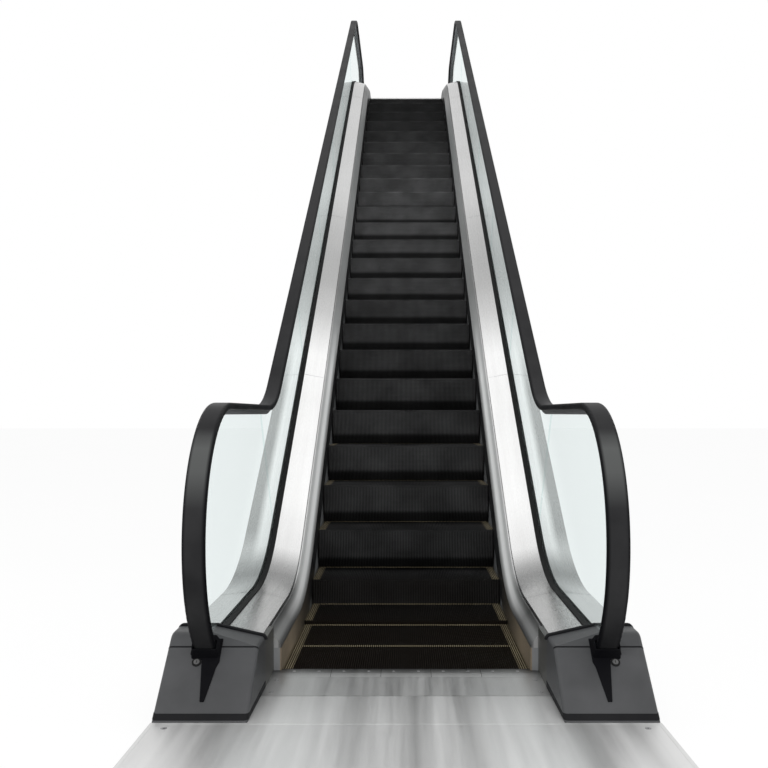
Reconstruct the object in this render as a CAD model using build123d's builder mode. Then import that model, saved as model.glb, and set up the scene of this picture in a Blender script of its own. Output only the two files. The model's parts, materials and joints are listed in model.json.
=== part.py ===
from build123d import *
import math
import os

# Escalator with glass balustrades, from ground level up. Millimetres.
# X runs across the steps, Y up the incline, Z up. The origin is on the ground under
# the lower landing, in the middle of the line where the comb meets the steps.

# Steps and incline
step_width = 1000.0
step_pitch = 400.0
incline = 35.0
rise = 5472.0
bend_start = 961.0
lower_bend_radius = 1200.0
upper_bend_radius = 1500.0
upper_flat_length = 1200.0
step_phase = 393.0
step_gap = 4.0
step_edge = 28.0
riser_angle = 38.0
cleat_count = 110
cleat_groove = 5.6
cleat_depth = 10.0
steps_per_node = 8
seat_play = 0.3

# Landings
floor_height = 40.0
floor_plate_thick = 12.0
pit_floor = 10.0
lower_landing_length = 1700.0
upper_landing_length = 2200.0
landing_half_width = 862.0
front_leaf_start = 1150.0
floor_joint = 3.0
frame_tongue = 60.0
comb_plate_length = 337.0
comb_joint = 2.0
comb_rise = 4.0
comb_flat = 60.0
comb_ramp = 40.0
comb_tooth_length = 26.0
comb_tooth_width = 2.8
comb_tooth_clear = 1.0
comb_tooth_tip = 6.0

# Truss around and under the steps
truss_depth = 1000.0
upper_truss_depth = 1100.0
frame_outer = 854.0
frame_top = 95.0
soffit_thick = 8.0
support_reach = 180.0
support_height = 300.0
support_drop = 160.0
support_thick = 20.0
support_half_width = 800.0
anchor_bore = 22.0
anchor_spacing = 1200.0
anchor_count = 2

# Balustrade foot, right hand side: distances from the middle, heights square above the step noses
skirt_gap = 4.0
skirt_thick = 6.0
skirt_drop = 60.0
strip_outer = 556.0
strip_top = 168.0
deck_joint = 2.0
deck_inner_top = 182.0
deck_outer = 690.0
deck_outer_top = 212.0
clamp_outer = 729.0
clamp_top = 219.0
clamp_floor = 150.0
outer_deck_top = 200.0
outer_deck_lip = 150.0
cladding_joint = 2.0
end_panel_inner = 535.0
end_panel_length = 20.0

# Handrail, guide and glass
handrail_centre = 720.0
handrail_width = 80.0
handrail_top = 17.0
handrail_bottom = 12.0
handrail_round = 11.0
handrail_slot_width = 58.0
handrail_slot_top = 6.0
handrail_slot_floor = 5.0
handrail_mouth = 40.0
handrail_level = 1068.0
handrail_slanted = 797.0
handrail_bend_lower = 700.0
handrail_bend_upper = 750.0
newel_radius = 485.0
newel_reach = 606.0
inlet_angle = 62.0
guide_play = 0.3
guide_head_width = 54.0
guide_head_thick = 8.0
guide_web_width = 34.0
guide_bottom = 30.0
guide_holder_width = 24.0
glass_thick = 10.0
glass_play = 0.3
glass_grip = 10.0
pane_gap = 4.0
incline_panes = 5

# Inlet caps at the newel feet, distances measured outwards from the comb line
cap_inner = 535.0
cap_front = 623.0
cap_back = 235.0
cap_height = 238.0
cap_face_angle = 41.2
cap_brow = 55.0
cap_shoulder = 715.0
cap_inner_height = 197.0
cap_wall = 8.0
cap_round = 14.0
cap_glass_gap = 4.0

# Rubber boot on the cap's face: a collar round the handrail over a plate that narrows to a tongue
boot_half_width = 54.0
boot_top = 42.0
boot_shoulder = 24.0
boot_throat = 28.0
boot_throat_level = 46.0
boot_slant = 30.0
boot_lean = 18.0
boot_tip = 7.0
boot_tip_level = 212.0
boot_plate = 5.0
boot_play = 2.0
collar_half_width = 50.0
collar_top = 39.0
collar_front = 42.0
collar_length = 46.0
collar_wall = 3.0
collar_round = 9.0
switch_offset = 27.0
switch_height = 154.0
switch_diameter = 21.0
switch_proud = 5.0

theta = math.radians(incline)
slope = math.tan(theta)
half_bend = math.tan(theta / 2)
step_half = step_width / 2
skirt_face = step_half + skirt_gap
side_inner = skirt_face + skirt_thick
cladding_outer = landing_half_width
top_floor = floor_height + rise
bend_end = bend_start + rise / slope
upper_comb = bend_end + upper_bend_radius * half_bend + upper_flat_length
foot_start = -cap_back
foot_end = upper_comb + cap_back
upper_end = upper_comb + upper_landing_length
truss_floor = top_floor - upper_truss_depth
truss_drop = truss_depth / math.cos(theta)
truss_leaves_ground = bend_start + (truss_drop - floor_height) / slope
soffit_corner = bend_start + (truss_floor - floor_height + truss_drop) / slope
below_ground = -1500.0
sides = {"left": -1, "right": 1}
ends = {"lower": (0.0, -1, floor_height), "upper": (upper_comb, 1, top_floor)}
landing_lengths = {"lower": lower_landing_length, "upper": upper_landing_length}
landing_bottoms = {"lower": 0.0, "upper": truss_floor}

os.makedirs("parts", exist_ok=True)


def write(sub_part, name):
    sub_part.part.label = name
    export_step(sub_part.part, f"parts/{name}.step")


# Lines and sections that follow the steps

def line_corners(offset, low_y, high_y):
    """Ends and corners of the line that lies this far from the step noses, square to them."""
    shift = offset * half_bend
    return [
        (low_y, floor_height + offset),
        (bend_start - shift, floor_height + offset),
        (bend_end - shift, top_floor + offset),
        (high_y, top_floor + offset),
    ]


def line_radii(offset):
    return [lower_bend_radius - offset, upper_bend_radius + offset]


def follow_steps(section, low_y, high_y, side):
    """Sweeps a section of (distance from the middle, height over the steps) along the steps."""
    with BuildPart() as swept:
        with BuildLine(Plane.YZ) as line:
            FilletPolyline(*line_corners(0, low_y, high_y), radius=line_radii(0))
        with BuildSketch(Plane.XZ.offset(-low_y)):
            with BuildLine():
                Polyline(*[(side * x, floor_height + z) for x, z in section], close=True)
            make_face()
        sweep(path=line.wire())
    return swept


def side_plane(side, inner, outer):
    """Plane square to X at the face nearest the left, for an extrusion from inner to outer."""
    return Plane.YZ.offset(inner if side > 0 else -outer)


def truss_side(top_offset, plane, thick, high_y, landing_top=None):
    """Side view of the truss from the ground to a line above the steps, as a plate."""
    with BuildPart() as plate:
        with BuildSketch(plane):
            with BuildLine():
                top = FilletPolyline(
                    *line_corners(top_offset, foot_start, foot_end), radius=line_radii(top_offset)
                )
                rest = [(high_y, truss_floor), (soffit_corner, truss_floor), (truss_leaves_ground, 0)]
                if landing_top:
                    rest = [(foot_end, landing_top), (high_y, landing_top)] + rest
                Polyline(top @ 1, *rest, (foot_start, 0), top @ 0)
            make_face()
        extrude(amount=thick)
    return plate


def end_rectangle(end_y, way, near, far, half_width):
    """Sketch rectangle across the machine between two distances outwards from the comb line."""
    with Locations((0, end_y + way * (near + far) / 2)):
        Rectangle(2 * half_width, far - near)


# Steps. The chain pitch is measured along the bent track, so treads close up on the flats.

lower_bend_low = bend_start - lower_bend_radius * half_bend
upper_bend_high = bend_end + upper_bend_radius * half_bend
lower_bend_length = lower_bend_radius * theta
upper_bend_length = upper_bend_radius * theta
slope_length = rise / math.sin(theta) - (lower_bend_radius + upper_bend_radius) * half_bend
track_length = lower_bend_low + lower_bend_length + slope_length + upper_bend_length + upper_flat_length


def nose_place(travel):
    """Y and Z of a step nose after this travel along the track from the lower comb."""
    if travel <= lower_bend_low:
        return travel, floor_height
    travel -= lower_bend_low
    if travel <= lower_bend_length:
        turn = travel / lower_bend_radius
        lift = lower_bend_radius * (1 - math.cos(turn))
        return lower_bend_low + lower_bend_radius * math.sin(turn), floor_height + lift
    travel -= lower_bend_length
    if travel <= slope_length:
        start_y = lower_bend_low + lower_bend_radius * math.sin(theta)
        start_z = floor_height + lower_bend_radius * (1 - math.cos(theta))
        return start_y + travel * math.cos(theta), start_z + travel * math.sin(theta)
    travel -= slope_length
    if travel <= upper_bend_length:
        turn = theta - travel / upper_bend_radius
        fall = upper_bend_radius * (1 - math.cos(turn))
        return upper_bend_high - upper_bend_radius * math.sin(turn), top_floor - fall
    return upper_bend_high + travel - upper_bend_length, top_floor


step_count = math.ceil((track_length - comb_joint - step_phase) / step_pitch) + 1
step_noses = [nose_place(step_phase + (number - 1) * step_pitch) for number in range(step_count)]

# The riser is an arc about the back edge of its own tread, so its gap to the next tread is constant.
foot_turn = math.radians(riser_angle)
riser_foot = (step_pitch * (1 - math.cos(foot_turn)), -step_pitch * math.sin(foot_turn))
riser_middle = (step_pitch * (1 - math.cos(foot_turn / 2)), -step_pitch * math.sin(foot_turn / 2))
tread_back = (step_pitch - step_gap, 0)
tread_back_low = (step_pitch - step_gap, -step_edge)


def step_solid(nose):
    """One step: tread, curved riser and the sloping underside of its side frames."""
    nose_y, nose_z = nose
    under_comb = nose_y < comb_joint
    under_upper_comb = nose_y + tread_back[0] > upper_comb - comb_joint

    def place(point):
        return (nose_y + point[0], nose_z + point[1])

    with BuildPart() as step:
        with BuildSketch(Plane.YZ):
            with BuildLine():
                Polyline(nose, place(tread_back), place(tread_back_low), place(riser_foot))
                ThreePointArc(place(riser_foot), place(riser_middle), nose)
            make_face()
        extrude(amount=step_half, both=True)
        if nose_z + riser_foot[1] < pit_floor:
            split(bisect_by=Plane.XY.offset(pit_floor), keep=Keep.TOP)
        if under_comb:
            split(bisect_by=Plane.XZ.offset(-comb_joint), keep=Keep.BOTTOM)
        if under_upper_comb:
            split(bisect_by=Plane.XZ.offset(comb_joint - upper_comb), keep=Keep.TOP)
        if under_comb or under_upper_comb:
            with BuildSketch(Plane.XY.offset(nose_z)):
                with Locations((0, nose_y + step_pitch / 2)):
                    with GridLocations(step_width / cleat_count, 0, cleat_count, 1):
                        Rectangle(cleat_groove, step_pitch)
            extrude(amount=-cleat_depth, mode=Mode.SUBTRACT)
    return step


for number in range(math.ceil(step_count / steps_per_node)):
    group = step_noses[number * steps_per_node:(number + 1) * steps_per_node]
    with BuildPart() as steps:
        for nose in group:
            add(step_solid(nose).part)
    write(steps, f"steps_{number + 1:02d}")


# Truss core under the steps, its top shaped as the seats that the steps rest on

seats = []
for nose_y, nose_z in step_noses:
    front_height = nose_z + riser_foot[1] - seat_play
    seat_end = nose_y + tread_back[0] + seat_play
    if seats:
        seats.append((seats[-1][0], front_height))
    seats.append((nose_y + riser_foot[0], front_height))
    seats.append((seat_end, nose_z - step_edge - seat_play))
with BuildPart() as core:
    with BuildSketch(Plane.YZ):
        with BuildLine():
            Polyline(
                (seats[0][0], below_ground),
                *seats,
                (seats[-1][0], truss_floor),
                (soffit_corner, truss_floor),
                (soffit_corner - (truss_floor - below_ground) / slope, below_ground),
                close=True,
            )
        make_face()
    extrude(amount=skirt_face, both=True)
    split(bisect_by=Plane.XY, keep=Keep.TOP)
    with BuildSketch():
        with Locations((0, truss_leaves_ground / 2)):
            Rectangle(2 * skirt_face, truss_leaves_ground)
    extrude(amount=pit_floor - seat_play)
    split(bisect_by=Plane.XZ.offset(-frame_tongue), keep=Keep.BOTTOM)
    split(bisect_by=Plane.XZ.offset(-upper_comb), keep=Keep.TOP)
write(core, "truss_core")


# Side frames, claddings and the foot of each balustrade

for hand, side in sides.items():
    frame_thick = frame_outer - side_inner
    frame = truss_side(frame_top, side_plane(side, side_inner, frame_outer), frame_thick, foot_end)
    with BuildPart() as side_frame:
        add(frame.part)
        for end, (end_y, way, floor) in ends.items():
            with BuildSketch(Plane.XY.offset(landing_bottoms[end])):
                end_rectangle(end_y, way, end_panel_length, cap_back, strip_outer)
            extrude(amount=floor + clamp_top - landing_bottoms[end], mode=Mode.SUBTRACT)
    write(side_frame, f"{hand}_side_frame")

    cladding_plane = side_plane(side, frame_outer, cladding_outer)
    cladding_top = outer_deck_lip - cladding_joint
    cladding = truss_side(
        cladding_top, cladding_plane, cladding_outer - frame_outer, upper_end, top_floor - floor_plate_thick
    )
    write(cladding, f"{hand}_side_cladding")

    skirt_section = [
        (skirt_face, -skirt_drop),
        (side_inner, -skirt_drop),
        (side_inner, frame_top),
        (skirt_face, frame_top),
    ]
    with BuildPart() as skirt:
        add(follow_steps(skirt_section, -end_panel_length, upper_comb + end_panel_length, side).part)
        split(bisect_by=Plane.XY.offset(pit_floor), keep=Keep.TOP)
    write(skirt, f"{hand}_skirt")

    strip_section = [
        (skirt_face, frame_top),
        (strip_outer, frame_top),
        (strip_outer, strip_top),
        (strip_outer - skirt_thick, strip_top),
        (skirt_face, frame_top + skirt_thick),
    ]
    strip = follow_steps(strip_section, -end_panel_length, upper_comb + end_panel_length, side)
    write(strip, f"{hand}_skirt_cover")

    deck_inner = strip_outer + deck_joint
    deck_section = [
        (deck_inner, frame_top),
        (deck_outer, frame_top),
        (deck_outer, deck_outer_top),
        (deck_inner, deck_inner_top),
    ]
    deck = follow_steps(deck_section, foot_start, foot_end, side)
    write(deck, f"{hand}_inner_deck")

    glass_inner = handrail_centre - glass_thick / 2 - glass_play
    glass_outer = handrail_centre + glass_thick / 2 + glass_play
    clamp_section = [
        (deck_outer, frame_top),
        (clamp_outer, frame_top),
        (clamp_outer, clamp_top),
        (glass_outer, clamp_top),
        (glass_outer, clamp_floor),
        (glass_inner, clamp_floor),
        (glass_inner, clamp_top),
        (deck_outer, clamp_top),
    ]
    clamp = follow_steps(clamp_section, foot_start, foot_end, side)
    write(clamp, f"{hand}_glass_clamp")

    outer_deck_section = [
        (clamp_outer, frame_top),
        (frame_outer, frame_top),
        (frame_outer, outer_deck_lip),
        (cladding_outer, outer_deck_lip),
        (cladding_outer, outer_deck_top - floor_joint),
        (clamp_outer, deck_outer_top),
    ]
    outer_deck = follow_steps(outer_deck_section, foot_start, foot_end, side)
    write(outer_deck, f"{hand}_outer_deck")


# Planes and outlines of the handrail inlets at the newel feet

face_slope = math.radians(cap_face_angle)
face_distance = (cap_front - newel_reach + newel_radius) * math.sin(face_slope)
face_distance -= (handrail_level - newel_radius) * math.cos(face_slope)
inlet_turn = face_slope - math.asin(face_distance / newel_radius)


def face_out(height):
    """Distance outwards from the comb line at which the cap's slanted face has this height."""
    return cap_front - height / math.tan(face_slope)


def newel_centre(end_y, way, floor):
    return (end_y + way * (newel_reach - newel_radius), floor + handrail_level - newel_radius)


def rail_plane(side, end_y, way, floor, turn):
    """Plane across the handrail, turned this far round the newel, its Y towards the glass."""
    centre_y, centre_z = newel_centre(end_y, way, floor)
    origin = (
        side * handrail_centre,
        centre_y + way * newel_radius * math.cos(turn),
        centre_z - newel_radius * math.sin(turn),
    )
    return Plane(origin=origin, x_dir=(-way, 0, 0), z_dir=(0, way * math.sin(turn), math.cos(turn)))


def face_plane(side, end_y, way, floor):
    """Plane on the cap's slanted face where the handrail goes through it, its Y pointing up."""
    origin = rail_plane(side, end_y, way, floor, inlet_turn).origin
    square_to_face = (0, way * math.sin(face_slope), math.cos(face_slope))
    return Plane(origin=origin, x_dir=(-way, 0, 0), z_dir=square_to_face)


def boot_outline(outboard):
    """Corners of the boot's plate, its tongue leaning towards the steps."""
    corners = [
        (boot_half_width, boot_top),
        (boot_half_width, -boot_shoulder),
        (boot_throat - boot_lean, -boot_throat_level),
        (boot_tip - boot_lean, -boot_tip_level),
        (-boot_tip - boot_lean, -boot_tip_level),
        (-boot_throat - boot_lean, -boot_throat_level - boot_slant),
        (-boot_half_width, -boot_shoulder - boot_slant),
        (-boot_half_width, boot_top),
    ]
    return [(outboard * across, up) for across, up in corners]


def inlet_hole(play):
    """Draws the hole that the handrail and its guide pass through, on the plane across them."""
    with Locations((0, (handrail_bottom - handrail_top) / 2)):
        Rectangle(handrail_width + 2 * play, handrail_top + handrail_bottom + 2 * play)
    with Locations((0, guide_bottom / 2)):
        Rectangle(guide_web_width + 2 * play, guide_bottom + 2 * play)


# Handrail line: newel arc, level run, bend, slope, bend, level run and newel arc

def handrail_corners(inset):
    """Corners of the handrail's line, or of one that lies this far inside it."""
    level = handrail_level - inset
    slanted = (handrail_slanted - inset) / math.cos(theta)
    newel_run = newel_reach - newel_radius
    low_corner = bend_start + (level - slanted) / slope
    return [
        (-newel_run, floor_height + level),
        (low_corner, floor_height + level),
        (low_corner + rise / slope, top_floor + level),
        (upper_comb + newel_run, top_floor + level),
    ]


def handrail_line(inset, turn):
    """Draws the line, with its newel arcs run this far past their foremost points."""
    corners = handrail_corners(inset)
    radius = newel_radius - inset
    radii = [handrail_bend_lower + inset, handrail_bend_upper - inset]
    low_centre = (corners[0][0], corners[0][1] - radius)
    high_centre = (corners[3][0], corners[3][1] - radius)
    CenterArc(low_centre, radius, 180 + turn, -(90 + turn))
    FilletPolyline(*corners, radius=radii)
    CenterArc(high_centre, radius, 90, -(90 + turn))


def sweep_handrail_line(draw_section, side):
    """Sweeps a section whose local Y points from the handrail's top to its underside."""
    with BuildPart() as swept:
        with BuildLine(Plane.YZ.offset(side * handrail_centre)) as line:
            handrail_line(0, inlet_angle)
        path = line.wire()
        start = Plane(origin=path @ 0, x_dir=(1, 0, 0), z_dir=path % 0)
        with BuildSketch(start):
            draw_section()
        sweep(path=path)
    return swept


def handrail_section():
    depth = handrail_top + handrail_bottom
    slot_depth = handrail_slot_top + handrail_slot_floor
    with Locations((0, (handrail_bottom - handrail_top) / 2)):
        RectangleRounded(handrail_width, depth, handrail_round)
    with Locations((0, (handrail_slot_floor - handrail_slot_top) / 2)):
        Rectangle(handrail_slot_width, slot_depth, mode=Mode.SUBTRACT)
    with Locations((0, handrail_slot_floor)):
        Rectangle(handrail_mouth, 2 * handrail_bottom, mode=Mode.SUBTRACT)


def guide_section():
    head_top = guide_play - handrail_slot_top
    head_floor = head_top + guide_head_thick
    web_floor = handrail_bottom + 2
    with Locations((0, (head_top + head_floor) / 2)):
        Rectangle(guide_head_width, guide_head_thick)
    with Locations((0, (head_floor + web_floor) / 2)):
        Rectangle(guide_web_width, web_floor - head_floor)
    with Locations((0, (web_floor + guide_bottom) / 2)):
        Rectangle(guide_holder_width, guide_bottom - web_floor)
    with Locations((0, guide_bottom)):
        Rectangle(glass_thick + 2 * glass_play, 2 * glass_grip, mode=Mode.SUBTRACT)


glass_inset = guide_bottom - glass_grip + glass_play
cap_clear = cap_height + cap_glass_gap
collar_inside = guide_bottom + boot_play + collar_wall
slope_low = bend_start + lower_bend_radius * half_bend
slope_high = bend_end - upper_bend_radius * half_bend
pane_cuts = [
    slope_low + (slope_high - slope_low) * number / incline_panes for number in range(incline_panes + 1)
]
pane_middle = (clamp_floor + handrail_slanted) / 2

for hand, side in sides.items():
    write(sweep_handrail_line(handrail_section, side), f"{hand}_handrail")
    write(sweep_handrail_line(guide_section, side), f"{hand}_handrail_guide")

    glass_plane = side_plane(
        side, handrail_centre - glass_thick / 2, handrail_centre + glass_thick / 2
    )
    with BuildPart() as glass:
        with BuildSketch(glass_plane):
            with BuildLine() as rim:
                handrail_line(glass_inset, 90)
                low_foot = rim.wire() @ 0
                high_foot = rim.wire() @ 1
                Polyline(high_foot, (high_foot.X, below_ground), (low_foot.X, below_ground), low_foot)
            make_face()
            with BuildLine():
                seat = FilletPolyline(
                    *line_corners(clamp_floor, foot_start, foot_end), radius=line_radii(clamp_floor)
                )
                Polyline(
                    seat @ 1,
                    (foot_end, top_floor + cap_clear),
                    (upper_end, top_floor + cap_clear),
                    (upper_end, 2 * below_ground),
                    (lower_landing_length * -1, 2 * below_ground),
                    (lower_landing_length * -1, floor_height + cap_clear),
                    (foot_start, floor_height + cap_clear),
                    seat @ 0,
                )
            make_face(mode=Mode.SUBTRACT)
            for cut_y in pane_cuts:
                height = floor_height + (cut_y - bend_start) * slope
                middle_y = cut_y - pane_middle * math.sin(theta)
                middle_z = height + pane_middle * math.cos(theta)
                with Locations((middle_y, middle_z)):
                    Rectangle(pane_gap, 2 * handrail_level, rotation=incline, mode=Mode.SUBTRACT)
        extrude(amount=glass_thick)
        for end_y, way, floor in ends.values():
            with BuildSketch(rail_plane(side, end_y, way, floor, inlet_turn)):
                Rectangle(2 * collar_half_width, 2 * (collar_inside + boot_play))
            extrude(amount=collar_length + boot_play, mode=Mode.SUBTRACT)
    write(glass, f"{hand}_glass")


# Landings: frame, floor plates and the comb, the same at both ends but for what lies below

def landing_frame(end_y, way, floor, length, bottom):
    top = floor - floor_plate_thick
    with BuildPart() as frame:
        if bottom == 0:
            with BuildSketch():
                end_rectangle(end_y, way, -frame_tongue, 0, skirt_face)
            extrude(amount=pit_floor - seat_play)
        with BuildSketch(Plane.XY.offset(bottom)):
            end_rectangle(end_y, way, 0, end_panel_length, skirt_face)
            end_rectangle(end_y, way, end_panel_length, cap_back, strip_outer)
            end_rectangle(end_y, way, cap_back, length, frame_outer)
        extrude(amount=top - bottom)
    return frame


def floor_plate(end_y, way, floor, length):
    with BuildPart() as plate:
        with BuildSketch(Plane.XY.offset(floor - floor_plate_thick)):
            end_rectangle(end_y, way, comb_plate_length + floor_joint, cap_front + floor_joint, cap_inner)
            end_rectangle(end_y, way, cap_front + floor_joint, front_leaf_start, landing_half_width)
            end_rectangle(end_y, way, front_leaf_start + floor_joint, length, landing_half_width)
        extrude(amount=floor_plate_thick)
    return plate


def comb_plate(end_y, way, floor):
    """Comb plate with a raised comb whose teeth run in the grooves of the steps."""
    bottom = floor - floor_plate_thick

    def place(out, height):
        return (end_y + way * out, floor + height)

    with BuildPart() as comb:
        with BuildSketch(Plane.YZ):
            with BuildLine():
                Polyline(
                    (end_y, bottom),
                    place(0, comb_rise),
                    place(comb_flat, comb_rise),
                    place(comb_flat + comb_ramp, 0),
                    place(comb_plate_length, 0),
                    (end_y + way * comb_plate_length, bottom),
                    close=True,
                )
            make_face()
        extrude(amount=cap_inner, both=True)
        with BuildSketch(Plane.XY.offset(bottom)):
            for side in sides.values():
                with Locations((side * (skirt_face + cap_inner) / 2, end_y + way * end_panel_length / 2)):
                    Rectangle(cap_inner - skirt_face + 2 * glass_play, end_panel_length + 2 * glass_play)
        extrude(amount=2 * floor_plate_thick, mode=Mode.SUBTRACT)
        with BuildSketch(Plane.YZ):
            with BuildLine():
                Polyline(
                    place(0, comb_tooth_clear - cleat_depth),
                    place(0, comb_rise),
                    place(-comb_tooth_length, -comb_tooth_tip),
                    place(-comb_tooth_length, comb_tooth_clear - cleat_depth),
                    close=True,
                )
            make_face()
        extrude(amount=step_half, both=True)
        pitch = step_width / cleat_count
        with BuildSketch(Plane.XY.offset(bottom)):
            with Locations((0, end_y - way * comb_tooth_length / 2)):
                with GridLocations(pitch, 0, cleat_count + 1, 1):
                    Rectangle(pitch - comb_tooth_width, comb_tooth_length)
        extrude(amount=2 * floor_plate_thick, mode=Mode.SUBTRACT)
    return comb


for end, (end_y, way, floor) in ends.items():
    length = landing_lengths[end]
    write(landing_frame(end_y, way, floor, length, landing_bottoms[end]), f"{end}_landing_frame")
    write(floor_plate(end_y, way, floor, length), f"{end}_floor_plate")
    write(comb_plate(end_y, way, floor), f"{end}_comb_plate")

    with BuildPart() as end_panels:
        with BuildSketch(Plane.XY.offset(floor - floor_plate_thick)):
            for side in sides.values():
                middle_x = side * (end_panel_inner + strip_outer) / 2
                middle_y = end_y + way * (end_panel_length + cap_back) / 2
                with Locations((middle_x, middle_y)):
                    Rectangle(strip_outer - end_panel_inner, cap_back - end_panel_length)
        extrude(amount=floor_plate_thick + deck_inner_top)
    write(end_panels, f"{end}_end_panels")


# Soffit sheet under the truss and the angle that rests on the upper floor's edge

sheet_drop = (truss_depth + soffit_thick) / math.cos(theta)
sheet_floor = truss_floor - soffit_thick
with BuildPart() as soffit:
    with BuildSketch(Plane.YZ):
        with BuildLine():
            Polyline(
                (truss_leaves_ground, 0),
                (soffit_corner, truss_floor),
                (upper_end, truss_floor),
                (upper_end, sheet_floor),
                (bend_start + (sheet_floor - floor_height + sheet_drop) / slope, sheet_floor),
                (bend_start + (sheet_drop - floor_height) / slope, 0),
                close=True,
            )
        make_face()
    extrude(amount=cladding_outer, both=True)
write(soffit, "soffit")

ledge_height = top_floor - support_drop
with BuildPart() as support:
    with BuildSketch(Plane.YZ):
        with BuildLine():
            Polyline(
                (upper_end, ledge_height - support_height + support_thick),
                (upper_end, ledge_height + support_thick),
                (upper_end + support_reach, ledge_height + support_thick),
                (upper_end + support_reach, ledge_height),
                (upper_end + support_thick, ledge_height),
                (upper_end + support_thick, ledge_height - support_height + support_thick),
                close=True,
            )
        make_face()
    extrude(amount=support_half_width, both=True)
    with Locations((0, upper_end + (support_reach + support_thick) / 2, ledge_height + support_thick)):
        with GridLocations(anchor_spacing, 0, anchor_count, 1):
            Hole(radius=anchor_bore / 2, depth=support_thick)
write(support, "upper_support_angle")


# Inlet caps where the handrails go down at the newel feet, with their rubber boots and key switches

def inlet_cap(side, end_y, way, floor):
    """Hollow moulded cap: a slanted face with a rounded brow, its top falling towards the steps."""
    def place(out, height):
        return (end_y + way * out, floor + height)

    plane = side_plane(side, cap_inner, cladding_outer)
    wall_run = cap_wall / math.sin(face_slope)
    with BuildPart() as cap:
        with BuildSketch(plane):
            with BuildLine():
                FilletPolyline(
                    place(cap_back, -floor_plate_thick),
                    place(cap_back, cap_height),
                    place(face_out(cap_height), cap_height),
                    place(cap_front, 0),
                    radius=[0.0, cap_brow],
                )
                Polyline(
                    place(cap_front, 0),
                    place(cap_front, -floor_plate_thick),
                    place(cap_back, -floor_plate_thick),
                )
            make_face()
        extrude(amount=cladding_outer - cap_inner)
        with BuildSketch(Plane.XZ.offset(-end_y)):
            with BuildLine():
                Polyline(
                    (side * cap_inner, floor + cap_inner_height),
                    (side * cap_shoulder, floor + cap_height),
                    (side * cap_inner, floor + cap_height),
                    close=True,
                )
            make_face()
        extrude(amount=-way * cap_front, mode=Mode.SUBTRACT)
        for side_face in cap.faces().filter_by(Axis.X):
            slanted = side_face.edges().filter_by(lambda edge: abs((edge % 0).Y) > 0.1)
            fillet(slanted.sort_by(Axis.Z)[1:], radius=cap_round)
        for hollow_inner, top in ((cap_inner, cap_inner_height), (cap_shoulder - 3 * cap_wall, cap_height)):
            with BuildSketch(side_plane(side, hollow_inner + cap_wall, cladding_outer - cap_wall)):
                with BuildLine():
                    Polyline(
                        place(cap_back + cap_wall, -floor_plate_thick),
                        place(cap_back + cap_wall, top - 2 * cap_wall),
                        place(face_out(top) - wall_run, top - 2 * cap_wall),
                        place(cap_front - wall_run, 0),
                        place(cap_front - wall_run, -floor_plate_thick),
                        close=True,
                    )
                make_face()
            extrude(amount=cladding_outer - hollow_inner - 2 * cap_wall, mode=Mode.SUBTRACT)
        with BuildSketch(rail_plane(side, end_y, way, floor, inlet_turn)):
            inlet_hole(2 * boot_play)
        extrude(amount=collar_length, both=True, mode=Mode.SUBTRACT)
    return cap


def inlet_boot(side, end_y, way, floor):
    """Plate on the cap's face and a collar that closes round the handrail's curve."""
    on_face = face_plane(side, end_y, way, floor)
    at_face = rail_plane(side, end_y, way, floor, inlet_turn)
    hole_turn = 2 * collar_length / newel_radius
    collar_outside = handrail_top + boot_play + collar_wall
    with BuildPart() as boot:
        with BuildSketch(on_face):
            with BuildLine():
                Polyline(*boot_outline(-side * way), close=True)
            make_face()
        extrude(amount=boot_plate)
        with BuildSketch(on_face):
            with Locations((0, (collar_top - collar_front) / 2)):
                RectangleRounded(2 * collar_half_width, collar_top + collar_front, collar_round)
        with BuildSketch(at_face.offset(collar_length)):
            with Locations((0, (collar_inside - collar_outside) / 2)):
                rim_width = handrail_width + 2 * (boot_play + collar_wall)
                RectangleRounded(rim_width, collar_inside + collar_outside, collar_round)
        loft()
        with BuildSketch(rail_plane(side, end_y, way, floor, inlet_turn + hole_turn)):
            inlet_hole(boot_play)
        centre_y, centre_z = newel_centre(end_y, way, floor)
        newel_axis = Axis((0, centre_y, centre_z), (way, 0, 0))
        revolve(axis=newel_axis, revolution_arc=math.degrees(2 * hole_turn), mode=Mode.SUBTRACT)
    return boot


def key_switch(side, end_y, way, floor):
    back = face_out(switch_height)
    origin = (side * (handrail_centre + switch_offset), end_y + way * back, floor + switch_height)
    plane = Plane(origin=origin, z_dir=(0, way * math.sin(face_slope), math.cos(face_slope)))
    with BuildPart() as switch:
        with BuildSketch(plane):
            Circle(switch_diameter / 2)
        extrude(amount=switch_proud)
    return switch


for end, (end_y, way, floor) in ends.items():
    for hand, side in sides.items():
        write(inlet_cap(side, end_y, way, floor), f"{end}_{hand}_inlet_cap")

    with BuildPart() as boots:
        for side in sides.values():
            add(inlet_boot(side, end_y, way, floor).part)
    write(boots, f"{end}_inlet_boots")

    with BuildPart() as switches:
        for side in sides.values():
            add(key_switch(side, end_y, way, floor).part)
    write(switches, f"{end}_key_switches")
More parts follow.
